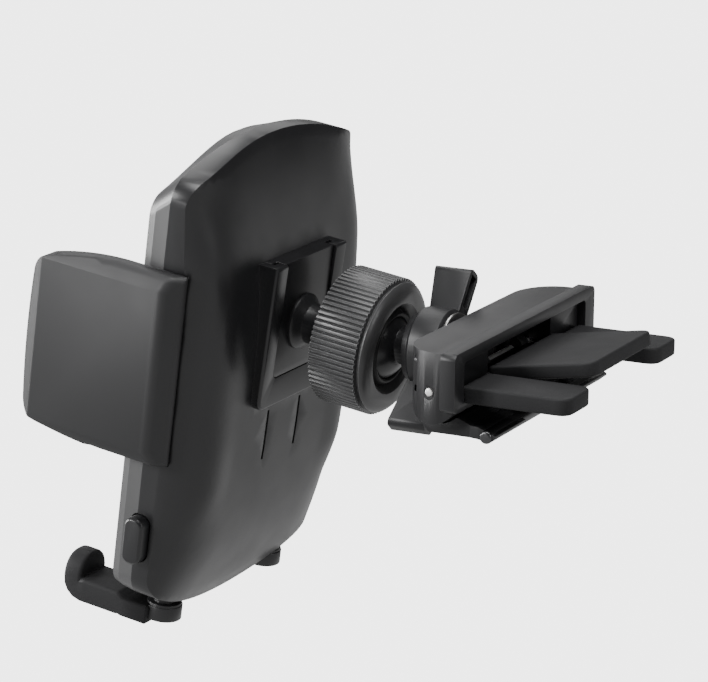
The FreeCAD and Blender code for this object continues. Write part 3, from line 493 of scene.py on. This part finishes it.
# the arms' plates have softer edges than the rest, and the cradle's edge strips are crisp
easing = {"width": 0.22, "segments": 2, "angle": 32.0, "flat": 0.05, "weld": 0.002}
armEdges = {"nodes": ("arm_left", "arm_right"), "from": 35.0, "rear": -45.0, "front": -56.0,
            "width": 1.5, "narrow": 0.45, "segments": 4, "angle": 18.0}
crispEdges = {"nodes": ("front_shell", "rear_cover"), "rear": -28.5, "angle": 7.0}


def edgeTurn(edge):
    return math.degrees(edge.calc_face_angle(0.0))


def edgeEnds(edge):
    # the ends in the upright cradle's own mm
    return [cradlePlace.inverted() @ (vert.co / mm) for vert in edge.verts]


def softenArmPlate(shape):
    # bevel weights: the plate's rear edges take the whole width, its other edges a narrower one
    look = armEdges
    weight = shape.edges.layers.float.new("bevel_weight_edge")
    for edge in shape.edges:
        ends = edgeEnds(edge)
        outside = all(abs(end.x) > look["from"] for end in ends)
        behind = all(end.y > look["rear"] for end in ends)
        clear = all(end.y > look["front"] for end in ends)
        if outside and clear and edgeTurn(edge) > look["angle"]:
            edge[weight] = 1.0 if behind else look["narrow"] / look["width"]
        elif edgeTurn(edge) > easing["angle"]:
            edge[weight] = easing["width"] / look["width"]


def keepStripsCrisp(shape):
    for edge in shape.edges:
        front = all(end.y < crispEdges["rear"] for end in edgeEnds(edge))
        if front and edgeTurn(edge) > crispEdges["angle"]:
            edge.smooth = False


def easedPiece(node):
    mesh = frame["nodes"][node].data.copy()
    shape = bmesh.new()
    shape.from_mesh(mesh)
    bmesh.ops.remove_doubles(shape, verts=shape.verts, dist=easing["weld"] * mm)
    if node in reshaped:
        change, place = reshaped[node]
        back = place.inverted()
        for vert in shape.verts:
            vert.co = place @ change(back @ (vert.co / mm)) * mm
    bmesh.ops.dissolve_limit(shape, angle_limit=math.radians(easing["flat"]), verts=shape.verts,
                             edges=shape.edges, delimit=set())
    for part in (*shape.faces, *shape.edges):
        part.smooth = True
    plate = node in armEdges["nodes"]
    if plate:
        softenArmPlate(shape)
    if node in crispEdges["nodes"]:
        keepStripsCrisp(shape)
    shape.to_mesh(mesh)
    shape.free()
    piece = newObject(node + "_eased", mesh)
    edges = armEdges if plate else easing
    bevel = piece.modifiers.new("easing", "BEVEL")
    bevel.width = edges["width"] * mm
    bevel.segments = edges["segments"]
    bevel.limit_method = "WEIGHT" if plate else "ANGLE"
    bevel.angle_limit = math.radians(easing["angle"])
    bevel.harden_normals = True
    bevel.use_clamp_overlap = not plate
    return piece


for hardNode in slotOf:
    if hardNode not in donePieces:
        finishPiece(easedPiece(hardNode), hardNode)
print("hard pieces made")


# Floor, light and camera
stageLook = {"floorTone": 4.05, "floorBounce": 0.75, "worldTone": 0.055, "worldStrength": 1.0,
             "floorGap": 0.2, "floorSize": 6.0, "lampTarget": (0, -0.04, -0.02)}
# place and size in metres, and power in watts
lampLook = {
    "topSoftbox": ((0.15, 0.1, 1.0), (0.6, 0.6), 12.0),
    "backSoftbox": ((-1.1, -0.7, 0.55), (0.9, 0.35), 1.6),
    "frontSoftbox": ((0.2, -1.2, 0.1), (0.5, 0.7), 26.0),
    "keySoftbox": ((0.9, -0.8, 0.55), (0.4, 0.4), 15.0),
    "slopeSoftbox": ((-0.55, -0.5, 0.85), (0.5, 0.5), 3.0),
    "rightSoftbox": ((0.15, 1.2, 0.45), (0.35, 0.35), 3.8),
    "stripSoftbox": ((0.75, -0.9, 0.2), (0.12, 0.6), 3.0),
}
# fitted to the straight edges of the cradle, arms and housing; its place is in mm, near and far in metres
cameraLook = {"azimuth": 116.6, "elevation": 14.1, "roll": -0.6, "place": (609.74, 265.39, 167.34),
              "lens": 167.8, "sensor": 36.0, "near": 0.05, "far": 20}


def buildFloor():
    # the pale sweep is shown at one even tone, and sends less light back up than it shows
    size = stageLook["floorSize"]
    low = cadBox[0][2] - stageLook["floorGap"] * mm
    shape = bmesh.new()
    corners = ((-size, -size), (size, -size), (size, size), (-size, size))
    shape.faces.new([shape.verts.new((x, y, low)) for x, y in corners])
    mesh = bpy.data.meshes.new("floor")
    shape.to_mesh(mesh)
    shape.free()
    floor = newObject("floor", mesh)
    material = bpy.data.materials.new("paleFloor")
    material.use_nodes = True
    nodes, links = material.node_tree.nodes, material.node_tree.links
    shader = nodes["Principled BSDF"]
    shader.inputs["Base Color"].default_value = (0, 0, 0, 1)
    shader.inputs["Specular IOR Level"].default_value = 0
    shader.inputs["Roughness"].default_value = 1.0
    shader.inputs["Emission Color"].default_value = (1, 1, 1, 1)
    path = nodes.new("ShaderNodeLightPath")
    tone = nodes.new("ShaderNodeMapRange")
    tone.inputs["To Min"].default_value = stageLook["floorBounce"]
    tone.inputs["To Max"].default_value = stageLook["floorTone"]
    links.new(path.outputs["Is Camera Ray"], tone.inputs["Value"])
    links.new(tone.outputs["Result"], shader.inputs["Emission Strength"])
    mesh.materials.append(material)


def buildLight():
    world = bpy.data.worlds.new("studio")
    world.use_nodes = True
    background = world.node_tree.nodes["Background"]
    tone = stageLook["worldTone"]
    background.inputs["Color"].default_value = (tone, tone, tone, 1)
    background.inputs["Strength"].default_value = stageLook["worldStrength"]
    bpy.context.scene.world = world
    for name, (place, size, power) in lampLook.items():
        data = bpy.data.lights.new(name, "AREA")
        data.shape = "RECTANGLE"
        data.size, data.size_y = size
        data.energy = power
        lamp = newObject(name, data)
        lamp.location = place
        aim = Vector(stageLook["lampTarget"]) - Vector(place)
        lamp.rotation_euler = aim.to_track_quat("-Z", "Y").to_euler()


def buildCamera():
    look = cameraLook
    data = bpy.data.cameras.new("camera")
    data.sensor_width = look["sensor"]
    data.lens = look["lens"]
    data.clip_start, data.clip_end = look["near"], look["far"]
    camera = newObject("camera", data)
    a, e, r = (math.radians(look[k]) for k in ("azimuth", "elevation", "roll"))
    back = Vector((math.sin(a) * math.cos(e), -math.cos(a) * math.cos(e), math.sin(e)))
    across = Vector((math.cos(a), math.sin(a), 0))
    up = back.cross(across)
    right = across * math.cos(r) - up * math.sin(r)
    top = across * math.sin(r) + up * math.cos(r)
    turn = Matrix((right, top, back)).transposed().to_4x4()
    camera.matrix_world = Matrix.Translation(Vector(look["place"]) * mm) @ turn
    bpy.context.scene.camera = camera


buildFloor()
buildLight()
buildCamera()
print("stage made")
